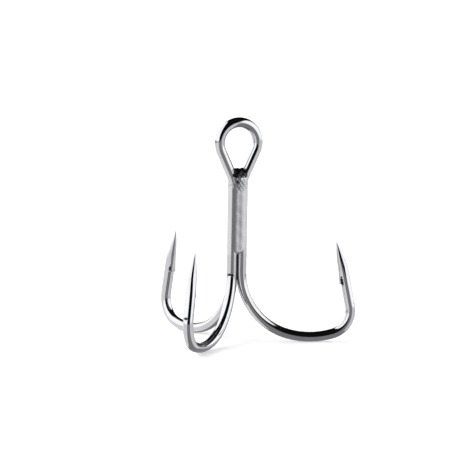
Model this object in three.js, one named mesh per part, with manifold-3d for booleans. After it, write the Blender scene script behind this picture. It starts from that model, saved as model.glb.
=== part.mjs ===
// Treble fishing hook: two wires and the braze that holds them together.
//
// One long wire is bent into the eye, and each of its two legs ends in a hook. A second, shorter wire
// with one hook lies in the groove behind the legs. Braze filler fills the three outer grooves of the
// shank bundle, the core between the wires, and the throat under the eye.
//
// Millimetres, +Z up along the shank. The wire of the eye lies in the XZ plane. The origin is on the
// inner crown of the eye, where a ring bears, so the rest of the hook hangs below it.

import * as THREE from 'three';
import { mergeVertices } from 'three/addons/utils/BufferGeometryUtils.js';
import Module from 'manifold-3d';

const wasm = await Module();
wasm.setup();

// ---- driving dimensions ----

const wireDiameter = 1.8;
const wireGap = 0.036;             // clear space between two neighbouring shanks
const brazeGap = 0.03;             // clear space between a wire and the braze

const eyeRadius = 3.64;            // to the centre of the wire
const eyeAboveBend = 23.3;         // from the start of the bends up to the centre of the eye
const eyeFlare = 25.1;             // degrees: lean of the straight sides below the eye
const neckRadius = 4;              // where the legs part to become the eye

// Each bend is three tangent arcs, from the shank to the foot of the point leg.
const bendArcs = [
  { radius: 11.84, degrees: 74, steps: 12 },
  { radius: 15.1, degrees: 32, steps: 7 },
  { radius: 4.34, degrees: 85.5, steps: 12 },
];
const legLength = 12;              // straight leg, from the last arc to the tip

const hookTurn = 16;               // degrees: how far the hooks stand turned about the shank

const pointLength = 9;             // the sides taper over this length
const pointPower = 2.4;            // how full the taper is
const grindLength = 4.8;           // the outer face is ground flat over this length
const grindBow = 0.1;              // and stands this proud of flat at its middle
const innerTaper = 5.4;            // the inner face runs in over this length
const tipOffset = 0.3;             // the tip lies this far inside the wire's centre line
const tipRadius = 0.05;

const barbRoot = 4.7;              // these three are distances from the tip
const barbEnd = 7.7;
const notchFoot = 8.9;
const barbHeight = 0.3;            // how far the barb's end stands off the wire
const barbThickness = 0.12;
const barbHalfAngle = 52;          // degrees of the section that the barb takes, each side
const notchHead = 6.3;             // distance from the tip to the closed end of the cut
const notchDepth = 0.42;           // below the wire's surface, there

const singleTop = 15.9;            // heights above the start of the bends
const brazeBottom = 2.7;
const brazeTop = 15.2;
const throatTop = 18.7;
const frontFill = 10;              // degrees from the crest of a wire to the edge of the braze
const sideFill = 16;
const endFill = 72;                // the same, at the lower end of a run of braze
const fillTail = 1.4;              // length over which a run thins out there
const endHollow = 0.16;            // how far its face is drawn in there, as a share of its half width

const wireSides = 16;
const eyeSteps = 27;
const neckSteps = 5;
const shankSteps = 5;
const legSteps = [10.5, pointLength, notchFoot, 8.3, barbEnd + 0.04, barbEnd, 6.8, 5.9, barbRoot,
  3.8, 3, 2.2, 1.5, 0.9, 0.4, 0];   // distances from the tip of the rings along the point leg

// ---- derived sizes ----

const wireRadius = wireDiameter / 2;
const shankSpacing = wireDiameter + wireGap;
const bundleRadius = shankSpacing / Math.sqrt(3);
const bundleY = bundleRadius / 2;                       // the bundle's centre, behind the eye's plane
const bendZ = -(eyeAboveBend + eyeRadius - wireRadius);
const eyeZ = bendZ + eyeAboveBend;
const flare = THREE.MathUtils.degToRad(eyeFlare);
const neckFoot = neckHeight();
const brazeRadius = wireRadius + brazeGap;              // of the hollow that each wire leaves in the braze
const slitWidth = 0.06;                                 // where the braze stops, between two wires
const deepestFill = Math.asin((shankSpacing - slitWidth) / 2 / brazeRadius);

const shanks = {
  right: { x: shankSpacing / 2, y: 0, heading: -30 + hookTurn },
  left: { x: -shankSpacing / 2, y: 0, heading: 210 + hookTurn },
  rear: { x: 0, y: bundleY + bundleRadius, heading: 90 + hookTurn },
};

// The legs part at the height from which the neck arc and the straight side just reach the eye's arc.
function neckHeight() {
  const sideEndX = eyeRadius * Math.cos(flare);
  const sideEndZ = eyeZ - eyeRadius * Math.sin(flare);
  const sideStartX = shankSpacing / 2 + neckRadius * (1 - Math.cos(flare));
  const rise = (sideEndX - sideStartX) / Math.tan(flare);
  return sideEndZ - rise - neckRadius * Math.sin(flare);
}

// ---- paths: a station is a point on the wire, its direction, and the direction of its section ----

function station(point, along, inward, fromTip = Infinity) {
  return { point, along, inward, fromTip };
}

// A hook from the start of its bend to its tip. Inward points into the gape.
function hookStations({ x, y, heading }) {
  const angle = THREE.MathUtils.degToRad(heading);
  const outward = new THREE.Vector3(Math.cos(angle), Math.sin(angle), 0);
  const up = new THREE.Vector3(0, 0, 1);
  const place = (reach, height) => new THREE.Vector3(x, y, bendZ + height).addScaledVector(outward, reach);
  const mix = (a, b) => outward.clone().multiplyScalar(a).addScaledVector(up, b);
  const stations = [];
  let turned = 0;
  let reach = 0;
  let height = 0;
  const add = (fromTip) => stations.push(station(
    place(reach, height),
    mix(Math.sin(turned), -Math.cos(turned)),
    mix(Math.cos(turned), Math.sin(turned)),
    fromTip,
  ));
  add();
  for (const arc of bendArcs) {
    const step = THREE.MathUtils.degToRad(arc.degrees) / arc.steps;
    for (let i = 0; i < arc.steps; i += 1) {
      reach += arc.radius * (Math.cos(turned) - Math.cos(turned + step));
      height -= arc.radius * (Math.sin(turned + step) - Math.sin(turned));
      turned += step;
      add();
    }
  }
  let before = legLength;
  for (const fromTip of legSteps) {
    reach += (before - fromTip) * Math.sin(turned);
    height -= (before - fromTip) * Math.cos(turned);
    before = fromTip;
    add(fromTip);
  }
  return stations;
}

// Half of the eye's path: up the right leg from the bend to the crown. Inward turns from the hook's
// own heading to +X along the shank.
function legToCrown({ heading }) {
  const half = [];
  const turn = THREE.MathUtils.degToRad(heading);
  for (let i = 1; i < shankSteps; i += 1) {
    const part = i / shankSteps;
    const angle = turn * (1 - part);
    half.push(station(
      new THREE.Vector3(shankSpacing / 2, 0, THREE.MathUtils.lerp(bendZ, neckFoot, part)),
      new THREE.Vector3(0, 0, 1),
      new THREE.Vector3(Math.cos(angle), Math.sin(angle), 0),
    ));
  }
  for (let i = 0; i <= neckSteps; i += 1) {
    const lean = flare * i / neckSteps;
    half.push(station(
      new THREE.Vector3(
        shankSpacing / 2 + neckRadius * (1 - Math.cos(lean)),
        0,
        neckFoot + neckRadius * Math.sin(lean),
      ),
      new THREE.Vector3(Math.sin(lean), 0, Math.cos(lean)),
      new THREE.Vector3(Math.cos(lean), 0, -Math.sin(lean)),
    ));
  }
  const eyeStep = (Math.PI + 2 * flare) / eyeSteps;
  for (let i = 0; i < eyeSteps / 2; i += 1) {
    const angle = -flare + i * eyeStep;
    half.push(station(
      new THREE.Vector3(eyeRadius * Math.cos(angle), 0, eyeZ + eyeRadius * Math.sin(angle)),
      new THREE.Vector3(-Math.sin(angle), 0, Math.cos(angle)),
      new THREE.Vector3(Math.cos(angle), 0, Math.sin(angle)),
    ));
  }
  return half;
}

function mirrorX(vector) {
  return new THREE.Vector3(-vector.x, vector.y, vector.z);
}

function reversed(stations) {
  return stations.map((s) => ({ ...s, along: s.along.clone().negate() })).reverse();
}

// From the right tip round the eye to the left tip.
function doubleWirePath() {
  const rightHalf = legToCrown(shanks.right);
  const leftHalf = legToCrown({ heading: 180 - shanks.left.heading })
    .map((s) => ({ ...s, point: mirrorX(s.point), along: mirrorX(s.along), inward: mirrorX(s.inward) }));
  return [
    ...reversed(hookStations(shanks.right)),
    ...rightHalf,
    ...reversed(leftHalf),
    ...hookStations(shanks.left),
  ];
}

// From the cut end behind the throat to the tip.
function singleWirePath() {
  const hook = hookStations(shanks.rear);
  const top = hook[0].point.clone();
  top.z = bendZ + singleTop;
  const bevel = 0.15;
  const shoulder = top.clone();
  shoulder.z -= bevel;
  return [
    { ...hook[0], point: top, trim: bevel },
    { ...hook[0], point: shoulder },
    ...hook,
  ];
}

// ---- solids ----

// Closes a skin over rings of equally many points, with a flat cap at each end.
function skin(rings) {
  const count = rings[0].length;
  const positions = rings.flat().flatMap((p) => [p.x, p.y, p.z]);
  const index = [];
  for (let r = 0; r + 1 < rings.length; r += 1) {
    for (let i = 0; i < count; i += 1) {
      const a = r * count + i;
      const b = r * count + (i + 1) % count;
      index.push(a, b, b + count, a, b + count, a + count);
    }
  }
  const last = (rings.length - 1) * count;
  for (const [a, b, c] of capTriangles(rings[0])) {
    index.push(c, b, a);
  }
  for (const [a, b, c] of capTriangles(rings[rings.length - 1])) {
    index.push(last + a, last + b, last + c);
  }
  const geometry = new THREE.BufferGeometry();
  geometry.setAttribute('position', new THREE.Float32BufferAttribute(positions, 3));
  geometry.setIndex(index);
  return geometry;
}

// Triangles of a flat ring, wound the way that the ring runs.
function capTriangles(ring) {
  const origin = ring[0];
  const normal = new THREE.Vector3();
  for (let i = 1; i + 1 < ring.length; i += 1) {
    normal.add(ring[i].clone().sub(origin).cross(ring[i + 1].clone().sub(origin)));
  }
  normal.normalize();
  const across = ring[1].clone().sub(origin).normalize();
  const up = normal.clone().cross(across);
  const flat = ring.map((p) => {
    const offset = p.clone().sub(origin);
    return new THREE.Vector2(offset.dot(across), offset.dot(up));
  });
  return THREE.ShapeUtils.triangulateShape(flat, []);
}

// How far the inner face, the outer face and the sides of the wire stand from its centre line.
function wireSection(fromTip, radius) {
  const grow = (length, power) => 1 - (1 - Math.min(fromTip / length, 1)) ** power;
  const ground = Math.min(fromTip / grindLength, 1);
  return {
    inner: THREE.MathUtils.lerp(tipOffset + tipRadius, radius, grow(innerTaper, 2)),
    outer: THREE.MathUtils.lerp(tipOffset - tipRadius, -radius, ground) - grindBow * 4 * ground * (1 - ground),
    side: THREE.MathUtils.lerp(tipRadius, radius, grow(pointLength, pointPower)),
  };
}

// How far the barb stands off the wire, at an angle from the middle of the inner face.
function barbLift(fromTip, angle) {
  if (fromTip < barbRoot || fromTip > barbEnd) {
    return 0;
  }
  const edge = Math.cos(THREE.MathUtils.degToRad(barbHalfAngle));
  const spread = Math.max(0, (Math.cos(angle) - edge) / (1 - edge));
  return barbHeight * spread * (fromTip - barbRoot) / (barbEnd - barbRoot);
}

function wireRing(s, radius) {
  const section = s.fromTip === Infinity
    ? { inner: radius, outer: -radius, side: radius }
    : wireSection(s.fromTip, radius);
  const trim = s.trim ?? 0;
  const middle = (section.inner + section.outer) / 2;
  const half = (section.inner - section.outer) / 2 - trim;
  const side = section.side - trim;
  const across = s.along.clone().cross(s.inward);
  const ring = [];
  for (let i = 0; i < wireSides; i += 1) {
    const angle = 2 * Math.PI * (i + 0.5) / wireSides;
    const lift = barbLift(s.fromTip, angle);
    ring.push(s.point.clone()
      .addScaledVector(s.inward, middle + (half + lift) * Math.cos(angle))
      .addScaledVector(across, (side + lift) * Math.sin(angle)));
  }
  return ring;
}

function wire(path, radius = wireRadius) {
  return skin(path.map((s) => wireRing(s, radius)));
}

// The wedge of wire that is cut away under a barb. Its outline is drawn down the leg and inward.
function barbNotch(shank) {
  const tip = hookStations(shank).at(-1);
  const outline = new THREE.Shape([
    new THREE.Vector2(notchHead, wireRadius - notchDepth),
    new THREE.Vector2(barbEnd, wireRadius + barbHeight - barbThickness),
    new THREE.Vector2(barbEnd + 0.5, wireRadius + barbHeight + 0.2),
    new THREE.Vector2(notchFoot, wireRadius + 0.02),
  ]);
  const geometry = new THREE.ExtrudeGeometry(outline, { depth: wireDiameter * 1.2, bevelEnabled: false });
  geometry.translate(0, 0, -wireDiameter * 0.6);
  const downLeg = tip.along.clone().negate();
  const frame = new THREE.Matrix4().makeBasis(downLeg, tip.inward, downLeg.clone().cross(tip.inward));
  frame.setPosition(tip.point);
  return geometry.applyMatrix4(frame);
}

function solid(geometry) {
  geometry.deleteAttribute('normal');
  geometry.deleteAttribute('uv');
  const merged = mergeVertices(geometry, 1e-4);
  return new wasm.Manifold(new wasm.Mesh({
    numProp: 3,
    vertProperties: new Float32Array(merged.attributes.position.array),
    triVerts: new Uint32Array(merged.index.array),
  }));
}

function geometryOf(manifold) {
  const mesh = manifold.getMesh();
  const geometry = new THREE.BufferGeometry();
  geometry.setAttribute('position', new THREE.Float32BufferAttribute(mesh.vertProperties, 3));
  geometry.setIndex(new THREE.Uint32BufferAttribute(mesh.triVerts, 1));
  return geometry;
}

function cutBarbs(geometry, hooks) {
  return geometryOf(hooks.reduce((left, shank) => left.subtract(solid(barbNotch(shank))), solid(geometry)));
}

// Section of the braze in the groove between two shanks. X runs across from one wire to the other and
// Y leads out of the bundle. Fill is the angle from a wire's crest to the braze's edge, and bow is how
// far the face rises between the wires, as a share of its half width.
function grooveSection({ fill, bow }) {
  const edge = THREE.MathUtils.degToRad(fill);
  const arcSteps = 6;
  const flank = [];
  for (let i = 0; i <= arcSteps; i += 1) {
    const angle = THREE.MathUtils.lerp(deepestFill, edge, i / arcSteps);
    flank.push(new THREE.Vector2(
      shankSpacing / 2 - brazeRadius * Math.sin(angle),
      brazeRadius * Math.cos(angle),
    ));
  }
  const face = flank.at(-1);
  const middle = [0.6, 0.2, -0.2, -0.6].map((part) => new THREE.Vector2(
    face.x * part,
    face.y + bow * face.x * (1 - part * part),
  ));
  const mirrored = flank.map((p) => new THREE.Vector2(-p.x, p.y)).reverse();
  return [...flank, ...middle, ...mirrored];
}

// A run of braze in one outer groove: full and gently crowned, flush with the wires, and drawn down
// into the groove at its lower end.
function brazeRun(outDegrees, fill) {
  const out = THREE.MathUtils.degToRad(outDegrees);
  const outward = new THREE.Vector3(Math.cos(out), Math.sin(out), 0);
  const across = new THREE.Vector3(-outward.y, outward.x, 0);
  const grooveCentre = new THREE.Vector3(0, bundleY, 0).addScaledVector(outward, bundleRadius / 2);
  const crown = Math.tan(THREE.MathUtils.degToRad(fill)) / 2;
  const tailSteps = 6;
  const levels = [];
  for (let i = 0; i <= tailSteps; i += 1) {
    const part = i / tailSteps;
    const thin = (1 - part) ** 2;
    levels.push({
      height: brazeBottom + fillTail * part,
      fill: THREE.MathUtils.lerp(fill, endFill, thin),
      bow: THREE.MathUtils.lerp(crown, -endHollow, thin),
    });
  }
  levels.push({ height: brazeTop, fill, bow: crown });
  const rings = levels.map((level) => grooveSection(level).map((p) => grooveCentre.clone()
    .addScaledVector(across, p.x)
    .addScaledVector(outward, p.y)
    .setZ(bendZ + level.height)));
  return skin(rings.map((ring) => ring.reverse()));
}

// The three-cornered rod of braze in the middle of the bundle.
function brazeCore() {
  const arcSteps = 5;
  const spread = deepestFill - Math.PI / 3;
  const section = [];
  for (const shank of [shanks.right, shanks.rear, shanks.left]) {
    const facing = Math.atan2(bundleY - shank.y, -shank.x);
    for (let i = 0; i <= arcSteps; i += 1) {
      const angle = facing + THREE.MathUtils.lerp(spread, -spread, i / arcSteps);
      section.push(new THREE.Vector2(
        shank.x + brazeRadius * Math.cos(angle),
        shank.y + brazeRadius * Math.sin(angle),
      ));
    }
  }
  const rings = [brazeBottom + fillTail, brazeTop]
    .map((height) => section.map((p) => new THREE.Vector3(p.x, p.y, bendZ + height)));
  return skin(rings);
}

// The pool of braze in the throat of the eye, over the cut end of the single wire.
function brazeThroat() {
  const bottom = brazeTop + brazeGap;
  const height = throatTop - bottom;
  const profile = [new THREE.Vector2(0, 0)];
  const domeSteps = 6;
  const poolRadius = 1.45;
  for (let i = 0; i <= domeSteps; i += 1) {
    const angle = Math.PI / 2 * i / domeSteps;
    profile.push(new THREE.Vector2(poolRadius * Math.cos(angle) ** 0.7, height * (0.25 + 0.75 * Math.sin(angle))));
  }
  profile[1].y = 0;
  profile.at(-1).x = 0;
  const dome = new THREE.LatheGeometry(profile, 24);
  dome.rotateX(Math.PI / 2);
  dome.scale(1, 0.82, 1);
  dome.translate(0, bundleY * 0.6, bendZ + bottom);
  const wires = solid(wire(doubleWirePath(), brazeRadius)).add(solid(wire(singleWirePath(), brazeRadius)));
  const parts = solid(dome).subtract(wires).decompose();
  parts.sort((a, b) => b.volume() - a.volume());
  return geometryOf(parts[0]);
}

// ---- materials and nodes ----

function blackNickel() {
  return new THREE.MeshStandardMaterial({ color: 0x6b6b70, roughness: 0.12, metalness: 1 });
}

function platedBraze() {
  return new THREE.MeshStandardMaterial({ color: 0x77767c, roughness: 0.3, metalness: 1 });
}

function node(name, geometry, material) {
  const mesh = new THREE.Mesh(geometry, material);
  mesh.name = name;
  return mesh;
}

const trebleHook = new THREE.Group();
trebleHook.add(
  node('double_hook_wire', cutBarbs(wire(doubleWirePath()), [shanks.right, shanks.left]), blackNickel()),
  node('single_hook_wire', cutBarbs(wire(singleWirePath()), [shanks.rear]), blackNickel()),
  node('braze_fillet_front', brazeRun(-90, frontFill), platedBraze()),
  node('braze_fillet_right', brazeRun(30, sideFill), platedBraze()),
  node('braze_fillet_left', brazeRun(150, sideFill), platedBraze()),
  node('braze_core', brazeCore(), platedBraze()),
  node('braze_throat', brazeThroat(), platedBraze()),
);

export default trebleHook;
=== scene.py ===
"""Treble hook in polished black nickel: two wires and the braze that joins them, on a pale floor."""

import math
from functools import cached_property

import bmesh
import bpy
import numpy as np
from mathutils import Matrix, Vector


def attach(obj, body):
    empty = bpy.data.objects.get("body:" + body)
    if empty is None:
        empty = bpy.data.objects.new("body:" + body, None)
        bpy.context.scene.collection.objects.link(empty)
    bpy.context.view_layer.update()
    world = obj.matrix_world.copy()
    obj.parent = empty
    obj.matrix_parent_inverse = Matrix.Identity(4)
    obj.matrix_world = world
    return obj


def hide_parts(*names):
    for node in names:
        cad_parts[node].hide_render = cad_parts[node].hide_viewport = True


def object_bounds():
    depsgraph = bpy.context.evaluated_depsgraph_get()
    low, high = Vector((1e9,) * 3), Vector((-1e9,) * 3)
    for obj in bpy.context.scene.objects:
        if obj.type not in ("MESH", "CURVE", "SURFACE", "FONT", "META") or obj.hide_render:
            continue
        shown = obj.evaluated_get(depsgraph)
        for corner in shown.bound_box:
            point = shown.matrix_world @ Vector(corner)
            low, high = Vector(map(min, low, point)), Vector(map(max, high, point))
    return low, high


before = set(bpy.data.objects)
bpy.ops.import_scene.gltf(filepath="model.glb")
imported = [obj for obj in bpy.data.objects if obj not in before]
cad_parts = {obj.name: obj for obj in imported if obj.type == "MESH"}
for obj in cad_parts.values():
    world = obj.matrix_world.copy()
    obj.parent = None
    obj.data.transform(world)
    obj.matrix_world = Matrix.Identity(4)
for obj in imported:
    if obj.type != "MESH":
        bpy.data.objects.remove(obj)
cad_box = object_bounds()

# ---- the design's dimensions, in millimetres and degrees ----

MM = 0.001
WIRE_RADIUS = 0.9
SHANK_SPACING = 1.836
BUNDLE_RADIUS = SHANK_SPACING / math.sqrt(3)        # from the middle of the shank to each wire's middle
BUNDLE_Y = BUNDLE_RADIUS / 2

EYE_RADIUS = 3.64
EYE_ABOVE_BEND = 23.3
EYE_FLARE = math.radians(25.1)
NECK_RADIUS = 4.0
BEND_Z = -(EYE_ABOVE_BEND + EYE_RADIUS - WIRE_RADIUS)
EYE_Z = BEND_Z + EYE_ABOVE_BEND

BEND_ARCS = ((11.84, 74), (15.1, 32), (4.34, 85.5))    # radius and angle of each arc, from the shank on
LEG_LENGTH = 12.0
HOOK_TURN = 16
SHANKS = {                                          # x and y of each shank, and the heading of its hook
    "right": (SHANK_SPACING / 2, 0.0, -30 + HOOK_TURN),
    "left": (-SHANK_SPACING / 2, 0.0, 210 + HOOK_TURN),
    "rear": (0.0, BUNDLE_Y + BUNDLE_RADIUS, 90 + HOOK_TURN),
}

# The top of the single wire and the braze, by height above the start of the bends
SINGLE_TOP = 15.9
SINGLE_BEVEL = 0.18                                 # the broken edge of its cut end
BRAZE_BOTTOM = 2.7
BRAZE_TAIL = 1.4                                    # over which the fill runs out at its lower end
BRAZE_BLEND = 1.9                                   # width of the blend that fills a groove just past flush
BRAZE_SUNK = 0.05                                   # how far the fill's skin is drawn in, but not the pool's
BRAZE_WAVE = 0.006                                  # how far that skin undulates
THROAT_TOP = 18.7
POOL_HEIGHT = 16.6                                  # middle of the pool in the throat of the eye
POOL_HALF_WIDTH = 1.75
POOL_HALF_DEPTH = 1.25
POOL_BLEND = 0.4
FILL_BELOW = 0.2                                    # the fill is cut off this far past its ends
FILL_ABOVE = 0.3
FILL_LOW = (-2.7, -1.5, BRAZE_BOTTOM - 0.6)         # corners of the box that it is meshed in
FILL_HIGH = (2.7, 3.1, THROAT_TOP + 0.7)
NET_STEP = 0.08                                     # spacing of the grid in that box

# The point, by distance from the tip
POINT_LENGTH = 9.0
POINT_POWER = 2.4
GRIND_LENGTH = 4.8
GRIND_BOW = 0.1
INNER_TAPER = 5.4
TIP_OFFSET = 0.3
TIP_RADIUS = 0.045

# The barb, by distance from the tip
BARB_ROOT = 4.7
BARB_END = 7.7
BARB_DROP = 0.01                                    # over which the barb's end falls back to the wire
BARB_HEIGHT = 0.3
BARB_THICKNESS = 0.12
BARB_HALF_ANGLE = math.radians(52)
BARB_FULLNESS = 1.6                                 # above 1, the barb is flat across its back
BARB_CURVE = 1.3                                    # above 1, the barb rises late
NOTCH_HEAD = 6.3
NOTCH_FOOT = 8.9
NOTCH_DEPTH = 0.42
CUT_MARGIN = 0.02                                   # by which the cutter misses or passes a surface

# The meshes of the wires
RING_SIDES = 56
FINE_STEP = 0.1                                     # ring spacing along the point
EYE_STEP = 0.21                                     # round the eye
COARSE_STEP = 0.3                                   # and along the rest of the wire
TIP_ZONE = 0.3                                      # where rings crowd together towards the tip
TIP_RINGS = 9
TIP_CROWDING = 1.5
BEVEL_RINGS = 5
SEAM = 0.05                                         # where the seam of the map runs, as a part of a turn
SLIVER = 0.0008                                     # after a cut, points nearer than this become one
SHARP_WIRE = 35                                     # edges sharper than this stay crisp
SHARP_BRAZE = 60

# Marks in the plate
WETTED_BELOW = 0.2                                  # the braze has wetted the wires this far past its ends
WETTED_ABOVE = 0.4
WETTED_FADE = 1.2
WETTED_REACH = 5.0                                  # and no farther than this from the middle of the shank
GRIND_FADE = 1.2
NICK_STATION = 2                                    # stations down the bend to the nick at a shank's foot
NICK_ABOVE_EYE_MIDDLE = 0.3
NICK_ALONG = 1.8                                    # distances count for more along the wire than across,
NICK_ACROSS = 0.6                                   # so that a nick runs across it
UNMARKED = 9.0
PATCH_FROM_TIP = 7.1                                # the patches of painted shadow on both sides of a barb
PATCH_INWARD = 0.75
PATCH_ACROSS = 0.6
RIM_Z = BEND_Z + THROAT_TOP - 1.75                  # the darkening of the throat starts here,
RIM_FADE = 0.2
DARK_TOP_Z = BEND_Z + THROAT_TOP                    # ends here on the wires,
DARK_TOP_FADE = 0.25
DARK_EDGE = 1.3                                     # and on them reaches this far to each side
DARK_EDGE_FADE = 0.15
THROAT_LOW_Z = BEND_Z + THROAT_TOP - 4.6            # the braze grows rough between these heights
THROAT_HIGH_Z = BEND_Z + THROAT_TOP - 2.2
DARK_SPOT = (-0.4, -0.95, BEND_Z + 16.3)                  # a small darkened spot below the pool

# Colours of the plate
BRIGHT_LOW = (0.30, 0.30, 0.315)
BRIGHT_HIGH = (0.36, 0.36, 0.372)
SATIN = (0.36, 0.36, 0.37)
WORN = (0.45, 0.44, 0.43)
# Near black: painted shade for the shadow in each barb's notch and beside it, and for the dark reflections at
# the nicks
PAINTED_SHADE = (0.03, 0.03, 0.032)
# Near black, the darkened colour of the throat of the eye, its pool and the wires beside it
THROAT_DARK = (0.02, 0.02, 0.021)

# The camera, as seen from the front
CAMERA_AZIMUTH = math.radians(-22)
CAMERA_ELEVATION = math.radians(7.0)
CAMERA_ROLL = math.radians(0.95)
CAMERA_LENS = 300.0
SENSOR = 36.0
NEAREST = 0.01                                      # metres
FARTHEST = 20                                       # metres
VIEW_WIDTH = 82.8                                   # mm across the picture at the hook
BENDS_BELOW_CENTRE = 7.39                           # mm in the picture, from its centre to the bends' start
SHANK_RIGHT_OF_CENTRE = 0.98

# The studio. Its edges are sines: 1 is straight right or up, -1 straight left or down
RIGHT_WALL_EDGE = (0.65, 0.71)
LEFT_WALL_EDGE = (-0.34, -0.4)
TABLE_EDGE = (-0.05, -0.01)
WALL_LIGHT = 2.8
ROOM_LIGHT = 0.012
TABLE_LIGHT = 0.5                                   # in the middle, then at the right and at the left
TABLE_LIGHT_RIGHT = 1.6
TABLE_LIGHT_LEFT = 1.8

# The floor and the wall round it
FLOOR_HALF_SIZE = 1800.0
FLOOR_COLOUR = (0.86, 0.86, 0.86)
FLOOR_GLOW = 0.3
SURROUND_SIDES = 48
SURROUND_RADIUS = 1700.0
SURROUND_BELOW = 400
SURROUND_ABOVE = 1500.0
SURROUND_COLOUR = (0.0, 0.0, 0.0)
SURROUND_GLOW = 1.0
PAPER_MOTTLE = 0.99                                 # the darker tint of a paper, as a part of its colour


# ---- centre lines ----

class Line:
    """Stations along a wire: points, directions, section directions and distances from the tip."""

    def __init__(self):
        self.point, self.along, self.inward, self.from_tip = [], [], [], []

    def add(self, point, along, inward, from_tip=math.inf):
        self.point.append(point)
        self.along.append(along)
        self.inward.append(inward)
        self.from_tip.append(from_tip)

    def extend(self, other, backwards=False, mirror=False):
        order = range(len(other.point) - 1, -1, -1) if backwards else range(len(other.point))
        flip = np.array([-1.0, 1, 1]) if mirror else np.ones(3)
        sign = -1 if backwards else 1
        for i in order:
            self.add(other.point[i] * flip, other.along[i] * flip * sign, other.inward[i] * flip,
                     other.from_tip[i])


def vector(*values):
    return np.array(values, float)


def hook_line(shank):
    """A hook from the start of its bend to its tip. Inward points into the gape."""
    x, y, heading = shank
    outward = vector(math.cos(math.radians(heading)), math.sin(math.radians(heading)), 0)
    up = vector(0, 0, 1)
    line = Line()
    turned = reach = height = 0.0

    def add(from_tip=math.inf):
        line.add(vector(x, y, BEND_Z + height) + outward * reach,
                 outward * math.sin(turned) - up * math.cos(turned),
                 outward * math.cos(turned) + up * math.sin(turned), from_tip)

    add()
    for radius, degrees in BEND_ARCS:
        steps = math.ceil(radius * math.radians(degrees) / COARSE_STEP)
        step = math.radians(degrees) / steps
        for _ in range(steps):
            reach += radius * (math.cos(turned) - math.cos(turned + step))
            height -= radius * (math.sin(turned + step) - math.sin(turned))
            turned += step
            add()
    before = LEG_LENGTH
    for from_tip in leg_distances():
        reach += (before - from_tip) * math.sin(turned)
        height -= (before - from_tip) * math.cos(turned)
        before = from_tip
        add(from_tip)
    return line


def leg_distances():
    """Distances from the tip of the rings on the point leg, with the barb's end as a sharp step."""
    plain = np.arange(LEG_LENGTH - COARSE_STEP, POINT_LENGTH + 2 * FINE_STEP, -COARSE_STEP)
    fine = np.arange(POINT_LENGTH, TIP_ZONE, -FINE_STEP)
    fine = fine[np.abs(fine - BARB_END) > FINE_STEP / 2]
    tip = TIP_ZONE * np.linspace(1, 0, TIP_RINGS) ** TIP_CROWDING
    return sorted({*plain, *fine, *tip, BARB_END, BARB_END + BARB_DROP}, reverse=True)


def leg_to_crown(heading):
    """Up the right leg and round the eye to its crown. Inward turns from the hook's heading to +X."""
    side_end = vector(EYE_RADIUS * math.cos(EYE_FLARE), 0, EYE_Z - EYE_RADIUS * math.sin(EYE_FLARE))
    neck_reach = SHANK_SPACING / 2 + NECK_RADIUS * (1 - math.cos(EYE_FLARE))
    rise = (side_end[0] - neck_reach) / math.tan(EYE_FLARE)
    neck_foot = side_end[2] - rise - NECK_RADIUS * math.sin(EYE_FLARE)
    turn = math.radians(heading)
    line = Line()
    steps = math.ceil((neck_foot - BEND_Z) / COARSE_STEP)
    for i in range(1, steps):
        part = i / steps
        line.add(vector(SHANK_SPACING / 2, 0, BEND_Z + (neck_foot - BEND_Z) * part), vector(0, 0, 1),
                 vector(math.cos(turn * (1 - part)), math.sin(turn * (1 - part)), 0))
    steps = math.ceil(NECK_RADIUS * EYE_FLARE / COARSE_STEP)
    for i in range(steps + 1):
        lean = EYE_FLARE * i / steps
        line.add(vector(SHANK_SPACING / 2 + NECK_RADIUS * (1 - math.cos(lean)), 0,
                        neck_foot + NECK_RADIUS * math.sin(lean)),
                 vector(math.sin(lean), 0, math.cos(lean)), vector(math.cos(lean), 0, -math.sin(lean)))
    start, along, inward = line.point[-1], line.along[-1], line.inward[-1]
    steps = math.ceil(np.linalg.norm(side_end - start) / COARSE_STEP)
    for i in range(1, steps):
        line.add(start + (side_end - start) * i / steps, along, inward)
    steps = math.ceil(EYE_RADIUS * (math.pi / 2 + EYE_FLARE) / EYE_STEP)
    for i in range(steps):
        angle = -EYE_FLARE + (math.pi / 2 + EYE_FLARE) * i / steps
        line.add(vector(EYE_RADIUS * math.cos(angle), 0, EYE_Z + EYE_RADIUS * math.sin(angle)),
                 vector(-math.sin(angle), 0, math.cos(angle)), vector(math.cos(angle), 0, math.sin(angle)))
    return line


def double_line():
    """From the tip of the right hook, up and round the eye, to the tip of the left hook."""
    line = Line()
    line.extend(hook_line(SHANKS["right"]), backwards=True)
    line.extend(leg_to_crown(SHANKS["right"][2]))
    line.add(vector(0, 0, EYE_Z + EYE_RADIUS), vector(-1, 0, 0), vector(0, 0, 1))
    line.extend(leg_to_crown(180 - SHANKS["left"][2]), backwards=True, mirror=True)
    line.extend(hook_line(SHANKS["left"]))
    return line


def single_line():
    """From the cut end under the eye to the tip of the rear hook."""
    hook = hook_line(SHANKS["rear"])
    foot, along, inward = hook.point[0], hook.along[0], hook.inward[0]
    line = Line()
    steps = math.ceil(SINGLE_TOP / COARSE_STEP)
    for i in range(steps):
        line.add(foot + vector(0, 0, SINGLE_TOP * (1 - i / steps)), along, inward)
    line.extend(hook)
    return line


# ---- wires ----

def smooth(value):
    value = np.clip(value, 0, 1)
    return value * value * (3 - 2 * value)


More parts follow.
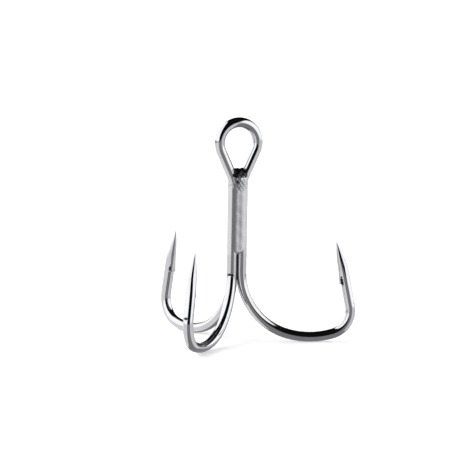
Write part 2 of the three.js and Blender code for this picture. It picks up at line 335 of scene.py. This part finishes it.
def wire_section(from_tip):
    """How far the inner face, the outer face and the sides stand from the centre line."""
    if from_tip == math.inf:
        return WIRE_RADIUS, -WIRE_RADIUS, WIRE_RADIUS

    def grow(length, power):
        return 1 - (1 - min(from_tip / length, 1)) ** power

    ground = min(from_tip / GRIND_LENGTH, 1)
    inner = TIP_OFFSET + TIP_RADIUS + (WIRE_RADIUS - TIP_OFFSET - TIP_RADIUS) * grow(INNER_TAPER, 2)
    outer = TIP_OFFSET - TIP_RADIUS - (WIRE_RADIUS + TIP_OFFSET - TIP_RADIUS) * ground
    outer -= GRIND_BOW * 4 * ground * (1 - ground)
    side = TIP_RADIUS + (WIRE_RADIUS - TIP_RADIUS) * grow(POINT_LENGTH, POINT_POWER)
    return inner, outer, side


def barb_lift(from_tip, angle):
    """How far the barb stands out from the wire, round one ring."""
    if not BARB_ROOT <= from_tip <= BARB_END:
        return np.zeros_like(angle)
    edge = math.cos(BARB_HALF_ANGLE)
    spread = smooth((np.cos(angle) - edge) / (1 - edge) * BARB_FULLNESS)
    part = (from_tip - BARB_ROOT) / (BARB_END - BARB_ROOT)
    return BARB_HEIGHT * spread * part ** BARB_CURVE


def mesh_object(name, vertices, faces):
    mesh = bpy.data.meshes.new(name)
    mesh.from_pydata((np.asarray(vertices) * MM).tolist(), [], faces)
    mesh.validate()
    mesh.update()
    piece = bpy.data.objects.new(name, mesh)
    bpy.context.scene.collection.objects.link(piece)
    return piece


def grid_faces(rings, count):
    faces = []
    for r in range(rings - 1):
        for i in range(count):
            a, b = r * count + i, r * count + (i + 1) % count
            faces.append((a, b, b + count, a + count))
    return faces


def wire(name, line, rounded_start=False):
    """A closed tube along a centre line, with the points and barbs of its hooks."""
    angle = 2 * math.pi * (np.arange(RING_SIDES) + 0.5) / RING_SIDES
    rings = []
    for point, along, inward, from_tip in zip(line.point, line.along, line.inward, line.from_tip):
        inner, outer, side = wire_section(from_tip)
        lift = barb_lift(from_tip, angle)
        across = np.cross(along, inward)
        rings.append(point
                     + np.outer((inner + outer) / 2 + ((inner - outer) / 2 + lift) * np.cos(angle), inward)
                     + np.outer((side + lift) * np.sin(angle), across))
    if rounded_start:
        rings = rounded_end(line, angle) + rings[1:]
    faces = grid_faces(len(rings), RING_SIDES)
    faces.append(tuple(range(RING_SIDES - 1, -1, -1)))
    last = (len(rings) - 1) * RING_SIDES
    faces.append(tuple(range(last, last + RING_SIDES)))
    piece = mesh_object(name, np.concatenate(rings), faces)
    lay_draw_lines(piece, len(rings))
    return piece


def lay_draw_lines(piece, rings):
    """A map that runs round the wire in U and along it, ring by ring, in V."""
    layer = piece.data.uv_layers.new(name="draw")
    index = np.zeros(len(piece.data.loops), dtype=np.int64)
    piece.data.loops.foreach_get("vertex_index", index)
    position = np.zeros(len(piece.data.vertices) * 3)
    piece.data.vertices.foreach_get("co", position)
    centre = position.reshape(rings, RING_SIDES, 3).mean(axis=1) / MM
    along = np.concatenate([[0], np.cumsum(np.linalg.norm(np.diff(centre, axis=0), axis=1))])
    around = (index % RING_SIDES) / RING_SIDES
    around = np.where(around < SEAM, around + 1, around)
    ring = index // RING_SIDES
    layer.data.foreach_set("uv", np.stack([around, along[ring]], axis=1).ravel())


def rounded_end(line, angle):
    """Rings over the cut end of a wire, whose edge is broken."""
    across = np.cross(line.along[0], line.inward[0])
    rings = []
    for i in range(BEVEL_RINGS + 1):
        turn = math.pi / 2 * i / BEVEL_RINGS
        radius = WIRE_RADIUS - SINGLE_BEVEL * (1 - math.sin(turn))
        centre = line.point[0] + line.along[0] * SINGLE_BEVEL * (1 - math.cos(turn))
        rings.append(centre + radius * (np.outer(np.cos(angle), line.inward[0])
                                        + np.outer(np.sin(angle), across)))
    return rings


NOTCH_OUTLINE = (                                   # down the leg from the tip, and out from its centre line
    (NOTCH_HEAD, WIRE_RADIUS - NOTCH_DEPTH),
    (BARB_END + CUT_MARGIN, WIRE_RADIUS + BARB_HEIGHT - BARB_THICKNESS),
    (BARB_END + 0.5, WIRE_RADIUS + BARB_HEIGHT + 0.2),    # clear of the barb's end
    (NOTCH_FOOT, WIRE_RADIUS + CUT_MARGIN),
)


def leg_frame(shank):
    """The tip of a hook, and the directions down its leg, into its gape and across."""
    hook = hook_line(shank)
    tip, down, inward = hook.point[-1], -hook.along[-1], hook.inward[-1]
    return tip, down, inward, np.cross(down, inward)


def cut_barb(piece, shank):
    """Cuts away the wedge of wire under a barb."""
    tip, down, inward, across = leg_frame(shank)
    half_width = WIRE_RADIUS * 1.2
    vertices = [tip + down * s + inward * n + across * side for side in (-half_width, half_width)
                for s, n in NOTCH_OUTLINE]
    faces = [(3, 2, 1, 0), (4, 5, 6, 7)]
    faces += [(i, (i + 1) % 4, (i + 1) % 4 + 4, i + 4) for i in range(4)]
    cutter = mesh_object("barb_cutter", vertices, faces)
    cut = piece.modifiers.new("barb", "BOOLEAN")
    cut.operation = "DIFFERENCE"
    cut.solver = "EXACT"
    cut.object = cutter
    bpy.context.view_layer.update()
    result = bpy.data.meshes.new_from_object(piece.evaluated_get(bpy.context.evaluated_depsgraph_get()))
    piece.modifiers.clear()
    piece.data = result
    bpy.data.objects.remove(cutter)
    drop_slivers(piece)


def drop_slivers(piece):
    """Merges the points that a cut leaves almost on top of each other."""
    shape = bmesh.new()
    shape.from_mesh(piece.data)
    bmesh.ops.remove_doubles(shape, verts=shape.verts, dist=SLIVER * MM)
    bmesh.ops.dissolve_degenerate(shape, dist=SLIVER * MM, edges=shape.edges)
    shape.to_mesh(piece.data)
    shape.free()


def cut_faces(data, shanks):
    """Which faces lie on the two flats of a barb's notch."""
    near, past_end = 0.02, 0.01
    centre = np.zeros(len(data.polygons) * 3)
    normal = np.zeros(len(data.polygons) * 3)
    data.polygons.foreach_get("center", centre)
    data.polygons.foreach_get("normal", normal)
    centre, normal = centre.reshape(-1, 3) / MM, normal.reshape(-1, 3)
    found = np.zeros(len(centre), dtype=bool)
    head, under, _, foot = NOTCH_OUTLINE
    for shank in shanks:
        tip, down, inward, across = leg_frame(shank)
        along, out = (centre - tip) @ down, (centre - tip) @ inward
        flat = (np.abs(normal @ across) < near) & (np.linalg.norm(centre - tip, axis=1) < POINT_LENGTH + 1)
        for end in (under, foot):
            level = np.interp(along, (head[0], end[0]), (head[1], end[1]))
            within = (along > head[0] - past_end) & (along < end[0] + past_end)
            found |= flat & within & (np.abs(out - level) < near)
    return found


def nick_and_shade_spots(shanks):
    """Places and directions of the nicks that forming leaves, painted dark as a stand-in for the reflections
    that break there, and of the patches of painted shadow beside the barbs.
    """
    marks = []
    for shank in shanks:
        hook = hook_line(shank)
        leg = next(i for i, from_tip in enumerate(hook.from_tip) if from_tip < math.inf)
        for i, side in ((NICK_STATION, 1), (leg, -1)):
            marks.append((hook.point[i] + side * hook.inward[i] * WIRE_RADIUS, hook.along[i]))
        tip, down, inward, across = leg_frame(shank)
        for side in (-1, 1):
            place = tip + down * PATCH_FROM_TIP + inward * PATCH_INWARD + across * side * PATCH_ACROSS
            marks.append((place, inward))
    if len(shanks) > 1:
        reach, height = EYE_RADIUS + WIRE_RADIUS, EYE_Z + NICK_ABOVE_EYE_MIDDLE
        marks += [(vector(side * reach, 0, height), vector(0, 0, 1)) for side in (-1, 1)]
    return marks


def mark_wire(piece, shanks):
    """Marks where the wire is cut, ground, nicked and wetted by braze, and where painted shade goes on the
    nicks and beside the barbs, for its material.
    """
    data = piece.data
    cut = data.attributes.new("cut", "FLOAT", "FACE")
    cut.data.foreach_set("value", cut_faces(data, shanks).astype(float))
    position = np.zeros(len(data.vertices) * 3)
    data.vertices.foreach_get("co", position)
    position = position.reshape(-1, 3) / MM
    height = position[:, 2] - BEND_Z
    reach = np.hypot(position[:, 0], position[:, 1] - BUNDLE_Y)
    brazed = smooth((height - BRAZE_BOTTOM + WETTED_BELOW) / WETTED_FADE)
    brazed *= smooth((THROAT_TOP + WETTED_ABOVE - height) / WETTED_FADE)
    brazed *= smooth(WETTED_REACH - reach)
    tips = np.array([hook_line(shank).point[-1] for shank in shanks])
    from_tip = np.linalg.norm(position[:, None] - tips[None], axis=2).min(axis=1)
    ground = smooth((GRIND_LENGTH + GRIND_FADE / 2 - from_tip) / GRIND_FADE)
    nick_shade = np.full(len(position), UNMARKED)
    for point, along in nick_and_shade_spots(shanks):
        off = position - point
        lengthwise = off @ along
        sideways = np.linalg.norm(off - np.outer(lengthwise, along), axis=1)
        nick_shade = np.minimum(nick_shade, np.hypot(NICK_ALONG * lengthwise, NICK_ACROSS * sideways))
    for name, values in (("brazed", brazed), ("ground", ground), ("nick_shade", nick_shade)):
        made = data.attributes.new(name, "FLOAT", "POINT")
        made.data.foreach_set("value", values)


def shade(piece, sharp_degrees):
    piece.data.polygons.foreach_set("use_smooth", [True] * len(piece.data.polygons))
    piece.data.set_sharp_from_angle(angle=math.radians(sharp_degrees))


# ---- braze ----

def blend(a, b, width):
    """The union of two distance fields, with the groove between them filled over the given width."""
    near = np.clip(1 - np.abs(a - b) / width, 0, 1)
    return np.minimum(a, b) - near * near * width / 4


def wires_field(x, y, height):
    """Distances from the right leg, the left leg and the single wire, and how far out a leg's middle is."""
    leg = leg_to_crown(0)
    leg_height = np.array([point[2] for point in leg.point]) - BEND_Z
    leg_x = np.array([point[0] for point in leg.point])
    leg_lean = np.array([along[0] for along in leg.along])
    rising = leg_height < EYE_ABOVE_BEND - EYE_RADIUS * math.sin(EYE_FLARE)
    middle = np.interp(height, leg_height[rising], leg_x[rising])
    lean = np.interp(height, leg_height[rising], leg_lean[rising])
    upright = np.sqrt(1 - lean ** 2)
    right = np.hypot((x - middle) * upright, y) - WIRE_RADIUS
    left = np.hypot((x + middle) * upright, y) - WIRE_RADIUS
    rear = np.hypot(x, y - BUNDLE_Y - BUNDLE_RADIUS) - WIRE_RADIUS
    above = np.maximum(height - SINGLE_TOP, 0)
    rear = np.where(above > 0, np.hypot(np.maximum(rear, 0), above), rear)
    return right, left, rear, middle


def braze_field(x, y, height):
    """Distance from the surface of the braze, with the wires' insides counted as braze.

    The number before each sine is in millimetres, those before x, y and height are radians a
    millimetre, and a number alone inside a sine is a shift.
    """
    right, left, rear, middle = wires_field(x, y, height)
    uneven = 0.16 * np.sin(2.1 * x + 1.3 * y) + 0.1 * np.sin(3.7 * y - 1.9 * x + 1)
    tail = smooth((height - BRAZE_BOTTOM - uneven) / BRAZE_TAIL)
    width = np.maximum(BRAZE_BLEND * tail, 1e-3)    # never zero, because it divides
    field = blend(blend(right, left, width), rear, width)
    field += BRAZE_SUNK
    field += BRAZE_WAVE * np.sin(1.7 * height + 2 * x) * np.sin(1.1 * height + 2.6 * y + 0.7)

    pool = np.sqrt((x / POOL_HALF_WIDTH) ** 2 + (y / POOL_HALF_DEPTH) ** 2
                   + ((height - POOL_HEIGHT) / (THROAT_TOP - POOL_HEIGHT)) ** 2)
    lumps = 0.05 * np.sin(5.2 * x + 0.8) * np.sin(4.1 * height + 1.2 * y) + 0.03 * np.sin(9 * x + 7 * height)
    field = blend(field, (pool - 1) * POOL_HALF_DEPTH + lumps, POOL_BLEND)

    # Above the single wire, the fill stays between the legs' middles, with a little over
    beside_single = np.clip(SINGLE_TOP + 0.4 - height, 0, 1)
    inside_legs = np.abs(x) - middle - 0.2 - 2 * beside_single
    ends = np.maximum(BRAZE_BOTTOM - FILL_BELOW - height, height - THROAT_TOP - FILL_ABOVE)
    return np.maximum(np.maximum(field, inside_legs), ends)


def surface_net(field, origin, step):
    """Vertices and faces of the surface where a field on a grid is zero."""
    cells = tuple(n - 1 for n in field.shape)
    total = np.zeros((*cells, 3))
    count = np.zeros(cells)
    crossings = []
    for axis in range(3):
        first, second = (axis + 1) % 3, (axis + 2) % 3
        low = np.take(field, range(cells[axis]), axis)
        high = np.take(field, range(1, cells[axis] + 1), axis)
        cross = (low < 0) != (high < 0)
        part = np.where(cross, low / np.where(cross, low - high, 1), 0)
        crossings.append((cross, low < 0))
        for i in (0, 1):
            for j in (0, 1):
                window = [slice(None)] * 3
                window[first] = slice(i, i + cells[first])
                window[second] = slice(j, j + cells[second])
                here = cross[tuple(window)]
                count += here
                total[..., axis] += part[tuple(window)]
                total[..., first] += here * i
                total[..., second] += here * j
    active = count > 0
    number = np.full(cells, -1)
    number[active] = np.arange(active.sum())
    corner = np.argwhere(active)
    vertices = origin + (corner + total[active] / count[active][:, None]) * step
    faces = []
    for axis, (cross, leaving) in enumerate(crossings):
        first, second = (axis + 1) % 3, (axis + 2) % 3
        where = np.argwhere(cross)
        around = []
        for i, j in ((-1, -1), (0, -1), (0, 0), (-1, 0)):
            cell = where.copy()
            cell[:, first] += i
            cell[:, second] += j
            around.append(number[tuple(cell.T)])
        quads = np.stack(around, axis=1)
        out = leaving[tuple(where.T)]
        faces.append(np.where(out[:, None], quads, quads[:, ::-1]))
    return vertices, np.concatenate(faces).tolist()


def braze_fill():
    """The braze as one skin, which runs on through the insides of the wires."""
    steps = (np.arange(low, high, NET_STEP) for low, high in zip(FILL_LOW, FILL_HIGH))
    x, y, height = np.meshgrid(*steps, indexing="ij")
    vertices, faces = surface_net(braze_field(x, y, height), vector(*FILL_LOW), NET_STEP)
    vertices[:, 2] += BEND_Z
    return mesh_object("braze_fill", vertices, faces)


# ---- materials ----

class Graph:
    """Short ways to add shader nodes. Places are in millimetres."""

    colour_a, colour_b, colour_result = 6, 7, 2     # where a mix node keeps its colours

    def __init__(self, tree):
        self.nodes, self.links = tree.nodes, tree.links
        self.source = self.nodes.new("ShaderNodeTexCoord").outputs

    @cached_property
    def space(self):
        return self.vector_math("MULTIPLY", self.source["Object"], (1 / MM, 1 / MM, 1 / MM), "Vector")

    def put(self, socket, value):
        if isinstance(value, bpy.types.NodeSocket):
            self.links.new(value, socket)
        else:
            socket.default_value = value

    def math(self, operation, a, b):
        node = self.nodes.new("ShaderNodeMath")
        node.operation = operation
        self.put(node.inputs[0], a)
        self.put(node.inputs[1], b)
        return node.outputs["Value"]

    def vector_math(self, operation, a, b, result="Value"):
        node = self.nodes.new("ShaderNodeVectorMath")
        node.operation = operation
        self.put(node.inputs[0], a)
        self.put(node.inputs[1], b)
        return node.outputs[result]

    def axis(self, name):
        node = self.nodes.new("ShaderNodeSeparateXYZ")
        self.put(node.inputs["Vector"], self.space)
        return node.outputs[name]

    def draw_noise(self, around, along, detail, roughness):
        """Noise that follows the drawing of the wire."""
        place = self.vector_math("MULTIPLY", self.source["UV"], (around, along, 1), "Vector")
        return self.noise(1, detail, roughness, place)

    def noise(self, scale, detail=3.0, roughness=0.55, place=None):
        node = self.nodes.new("ShaderNodeTexNoise")
        self.put(node.inputs["Vector"], place or self.space)
        node.inputs["Scale"].default_value = scale
        node.inputs["Detail"].default_value = detail
        node.inputs["Roughness"].default_value = roughness
        return node.outputs["Fac"]

    def attribute(self, name):
        node = self.nodes.new("ShaderNodeAttribute")
        node.attribute_name = name
        return node.outputs["Fac"]

    def range(self, value, low, high, to_low=0.0, to_high=1.0):
        node = self.nodes.new("ShaderNodeMapRange")
        node.interpolation_type = "SMOOTHSTEP"
        self.put(node.inputs["Value"], value)
        for name, number in (("From Min", low), ("From Max", high), ("To Min", to_low), ("To Max", to_high)):
            self.put(node.inputs[name], number)
        return node.outputs["Result"]

    def mix(self, factor, a, b):
        node = self.nodes.new("ShaderNodeMix")
        self.put(node.inputs["Factor"], factor)
        self.put(node.inputs["A"], a)
        self.put(node.inputs["B"], b)
        return node.outputs["Result"]

    def colour(self, factor, a, b):
        node = self.nodes.new("ShaderNodeMix")
        node.data_type = "RGBA"
        self.put(node.inputs["Factor"], factor)
        for index, value in ((self.colour_a, a), (self.colour_b, b)):
            self.put(node.inputs[index], value if isinstance(value, bpy.types.NodeSocket) else (*value, 1))
        return node.outputs[self.colour_result]

    def bump(self, height, distance, normal=None):
        """A bumped normal. The distance is in metres."""
        node = self.nodes.new("ShaderNodeBump")
        self.put(node.inputs["Height"], height)
        self.put(node.inputs["Distance"], distance)
        if normal is not None:
            self.put(node.inputs["Normal"], normal)
        return node.outputs["Normal"]


def material(name):
    """A new material, with its graph and its shader."""
    made = bpy.data.materials.new(name)
    made.use_nodes = True
    return made, Graph(made.node_tree), made.node_tree.nodes["Principled BSDF"]


def throat_crust(graph):
    """The noise of the rough metal in the throat."""
    return graph.noise(5.5, 6, 0.65)


def wire_throat_dark(graph):
    """Where the wires beside the pool in the throat are darkened."""
    ragged = graph.range(throat_crust(graph), 0.3, 0.7, -0.3, 0.3)
    across = graph.math("ADD", graph.math("ABSOLUTE", graph.axis("X"), 0.0), ragged)
    height = graph.math("ADD", graph.axis("Z"), ragged)
    darkening = graph.range(height, RIM_Z, RIM_Z + RIM_FADE)
    darkening = graph.math("MULTIPLY", darkening, graph.range(height, DARK_TOP_Z - DARK_TOP_FADE, DARK_TOP_Z, 1.0, 0.0))
    beside = graph.range(across, DARK_EDGE, DARK_EDGE + DARK_EDGE_FADE, 1.0, 0.0)
    return graph.math("MULTIPLY", darkening, beside)


def black_nickel():
    """Mirror-bright plate over drawn wire, satin where the braze has wetted it, dull and painted dark with
    shade in the cuts, painted shade on the nicks and beside the barbs, and darkened beside the pool in the
    throat.
    """
    made, graph, shader = material("black_nickel")
    shader.inputs["Metallic"].default_value = 1
    blotch = graph.noise(0.45, 4)
    speck = graph.range(graph.noise(3.2, 6, 0.7), 0.62, 0.72)
    lines = graph.draw_noise(46, 0.5, 3, 0.6)
    grinding = graph.draw_noise(5, 9, 2, 0.5)
    ragged = graph.math("ADD", graph.attribute("brazed"), graph.range(blotch, 0.2, 0.8, -0.3, 0.3))
    brazed = graph.range(ragged, 0.2, 0.9)
    ground = graph.attribute("ground")
    cut = graph.attribute("cut")
    torn = graph.noise(1.6, 4)
    # The nicks and the patches beside the barbs are dents in the bump, coloured near black as painted shade:
    # the dark reflections at the nicks and the notch's shadow beside each barb
    nick_shade = graph.math("ADD", graph.attribute("nick_shade"), graph.range(torn, 0.35, 0.65, -0.15, 0.2))
    nick_shade = graph.range(nick_shade, 0.38, 0.5, 1.0, 0.0)

    base = graph.colour(blotch, BRIGHT_LOW, BRIGHT_HIGH)
    base = graph.colour(graph.math("MULTIPLY", speck, 0.3), base, WORN)
    base = graph.colour(brazed, base, SATIN)
    # Painted shadow: the flats of each barb's notch are coloured near black for the shade inside the notch
    base = graph.colour(cut, base, PAINTED_SHADE)
    # Painted shade on the nicks and beside the barbs
    base = graph.colour(nick_shade, base, PAINTED_SHADE)
    # Darkened colour beside the pool in the throat
    base = graph.colour(wire_throat_dark(graph), base, THROAT_DARK)
    roughness = graph.range(lines, 0.3, 0.7, 0.045, 0.085)
    roughness = graph.math("ADD", roughness, graph.math("MULTIPLY", speck, 0.1))
    roughness = graph.math("ADD", roughness, graph.math("MULTIPLY", ground, 0.05))
    roughness = graph.mix(brazed, roughness, graph.range(blotch, 0.3, 0.7, 0.19, 0.27))
    roughness = graph.mix(cut, roughness, 0.34)
    normal = graph.bump(lines, 1.2e-6)
    normal = graph.bump(graph.math("MULTIPLY", grinding, ground), 2.5e-6, normal)
    normal = graph.bump(graph.math("MULTIPLY", graph.noise(1.6, 3), brazed), 0.6e-5, normal)
    normal = graph.bump(nick_shade, 2.5e-5, normal)
    graph.put(shader.inputs["Base Color"], base)
    graph.put(shader.inputs["Roughness"], roughness)
    graph.put(shader.inputs["Normal"], normal)
    return made


def plated_braze():
    """The same plate over cast braze: satin, a little uneven, and darkened and roughest round the throat."""
    made, graph, shader = material("plated_braze")
    shader.inputs["Metallic"].default_value = 1
    height = graph.axis("Z")
    blotch = graph.noise(0.55, 4)
    grain = graph.noise(2.6, 5, 0.6)
    crust = throat_crust(graph)
    edge = graph.math("ADD", height, graph.range(blotch, 0.2, 0.8, -0.9, 0.9))
    throat = graph.range(edge, THROAT_LOW_Z, THROAT_HIGH_Z)
    rim = graph.math("ADD", height, graph.range(crust, 0.3, 0.7, -0.3, 0.3))
    pool = graph.range(rim, RIM_Z, RIM_Z + RIM_FADE)
    from_dark_spot = graph.vector_math("DISTANCE", graph.space, DARK_SPOT)
    from_dark_spot = graph.math("ADD", from_dark_spot, graph.range(crust, 0.3, 0.7, -0.25, 0.25))

    base = graph.colour(graph.range(blotch, 0.3, 0.7), SATIN, BRIGHT_HIGH)
    # Darkened colour: flecks in the rough throat, a spot below the pool, and the pool itself
    darkening = graph.math("MULTIPLY", graph.range(crust, 0.45, 0.6), graph.math("MULTIPLY", throat, 0.6))
    darkening = graph.math("MAXIMUM", darkening, graph.range(from_dark_spot, 0.35, 0.5, 1.0, 0.0))
    darkening = graph.math("MAXIMUM", darkening, pool)
    base = graph.colour(darkening, base, THROAT_DARK)
    uneven = graph.bump(graph.noise(0.8, 2), 0.9e-5)
    depth = graph.range(throat, 0.0, 1.0, 0.8e-6, 4.5e-5)
    graph.put(shader.inputs["Base Color"], base)
    graph.put(shader.inputs["Roughness"], graph.range(grain, 0.3, 0.7, 0.19, 0.3))
    graph.put(shader.inputs["Normal"], graph.bump(crust, depth, uneven))
    return made


def paper(name, colour, glow):
    """Plain matt paper, faintly mottled."""
    made, graph, shader = material(name)
    tint = graph.colour(graph.noise(0.02, 2), colour, tuple(PAPER_MOTTLE * c for c in colour))
    graph.put(shader.inputs["Base Color"], tint)
    shader.inputs["Roughness"].default_value = 0.9
    shader.inputs["Specular IOR Level"].default_value = 0.0
    shader.inputs["Emission Color"].default_value = (1, 1, 1, 1)
    shader.inputs["Emission Strength"].default_value = glow
    return made


# ---- stage ----

def camera():
    """Adds the camera, and gives the direction to its right."""
    azimuth, elevation = CAMERA_AZIMUTH, CAMERA_ELEVATION
    back = Vector((math.sin(azimuth) * math.cos(elevation), -math.cos(azimuth) * math.cos(elevation),
                   math.sin(elevation)))
    right = Vector((math.cos(azimuth), math.sin(azimuth), 0))
    up = back.cross(right)
    rolled_right = right * math.cos(CAMERA_ROLL) + up * math.sin(CAMERA_ROLL)
    rolled_up = up * math.cos(CAMERA_ROLL) - right * math.sin(CAMERA_ROLL)
    start = Vector((0, BUNDLE_Y, BEND_Z)) * MM
    aim = start - rolled_right * SHANK_RIGHT_OF_CENTRE * MM + rolled_up * BENDS_BELOW_CENTRE * MM
    distance = VIEW_WIDTH * MM / SENSOR * CAMERA_LENS
    data = bpy.data.cameras.new("camera")
    data.lens = CAMERA_LENS
    data.sensor_width = SENSOR
    data.clip_start, data.clip_end = NEAREST, FARTHEST
    made = bpy.data.objects.new("camera", data)
    bpy.context.scene.collection.objects.link(made)
    made.location = aim + back * distance
    matrix = np.array([rolled_right, rolled_up, back]).T
    made.rotation_euler = Matrix(matrix.tolist()).to_euler()
    bpy.context.scene.camera = made
    return right


def studio_light(right):
    """White walls left and right of the hook, a dark room between them, and a grey table below."""
    world = bpy.data.worlds.new("studio")
    bpy.context.scene.world = world
    world.use_nodes = True
    graph = Graph(world.node_tree)
    direction = graph.source["Generated"]
    side = graph.vector_math("DOT_PRODUCT", direction, tuple(right))
    height = graph.vector_math("DOT_PRODUCT", direction, (0, 0, 1))
    wall_right = graph.range(side, *RIGHT_WALL_EDGE)
    wall_left = graph.range(side, *LEFT_WALL_EDGE)
    table = graph.mix(wall_left, graph.mix(wall_right, TABLE_LIGHT, TABLE_LIGHT_RIGHT), TABLE_LIGHT_LEFT)
    room = graph.mix(wall_left, graph.mix(wall_right, ROOM_LIGHT, WALL_LIGHT), WALL_LIGHT)
    light = graph.mix(graph.range(height, *TABLE_EDGE), table, room)
    grey = graph.nodes.new("ShaderNodeCombineColor")
    for channel in ("Red", "Green", "Blue"):
        graph.put(grey.inputs[channel], light)
    graph.put(graph.nodes["Background"].inputs["Color"], grey.outputs["Color"])


def floor(z):
    """A pale sheet under the hook, at the given height."""
    size = FLOOR_HALF_SIZE
    vertices = [(-size, -size, z), (size, -size, z), (size, size, z), (-size, size, z)]
    made = mesh_object("floor", vertices, [(0, 1, 2, 3)])
    made.data.materials.append(paper("floor_paper", FLOOR_COLOUR, FLOOR_GLOW))
    made.visible_glossy = False


def surround(z):
    """A pale wall round the floor, for the views from low down. Only the camera sees it."""
    sides = SURROUND_SIDES
    turns = [2 * math.pi * i / sides for i in range(sides)]
    ring = [(SURROUND_RADIUS * math.cos(turn), SURROUND_RADIUS * math.sin(turn)) for turn in turns]
    vertices = [(x, y, z - SURROUND_BELOW) for x, y in ring] + [(x, y, z + SURROUND_ABOVE) for x, y in ring]
    faces = [(i, (i + 1) % sides, (i + 1) % sides + sides, i + sides) for i in range(sides)]
    made = mesh_object("surround", vertices, faces)
    made.data.materials.append(paper("surround_paper", SURROUND_COLOUR, SURROUND_GLOW))
    made.visible_glossy = made.visible_diffuse = made.visible_shadow = False


# ---- build ----

studio_light(camera())
floor_z = cad_box[0].z / MM
floor(floor_z)
surround(floor_z)

nickel = black_nickel()
brazed_plate = plated_braze()
double = wire("double_hook_wire_round", double_line())
for side in ("right", "left"):
    cut_barb(double, SHANKS[side])
single = wire("single_hook_wire_round", single_line(), rounded_start=True)
cut_barb(single, SHANKS["rear"])
mark_wire(double, [SHANKS["right"], SHANKS["left"]])
mark_wire(single, [SHANKS["rear"]])
for piece, node in ((double, "double_hook_wire"), (single, "single_hook_wire")):
    shade(piece, SHARP_WIRE)
    piece.data.materials.clear()
    piece.data.materials.append(nickel)
    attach(piece, "root")
    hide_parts(node)

fill = braze_fill()
shade(fill, SHARP_BRAZE)
fill.data.materials.append(brazed_plate)
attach(fill, "root")
for node in ("braze_fillet_front", "braze_fillet_right", "braze_fillet_left", "braze_throat"):
    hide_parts(node)
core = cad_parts["braze_core"]
core.data.materials.clear()
core.data.materials.append(brazed_plate)

bpy.context.scene.view_settings.view_transform = "Standard"
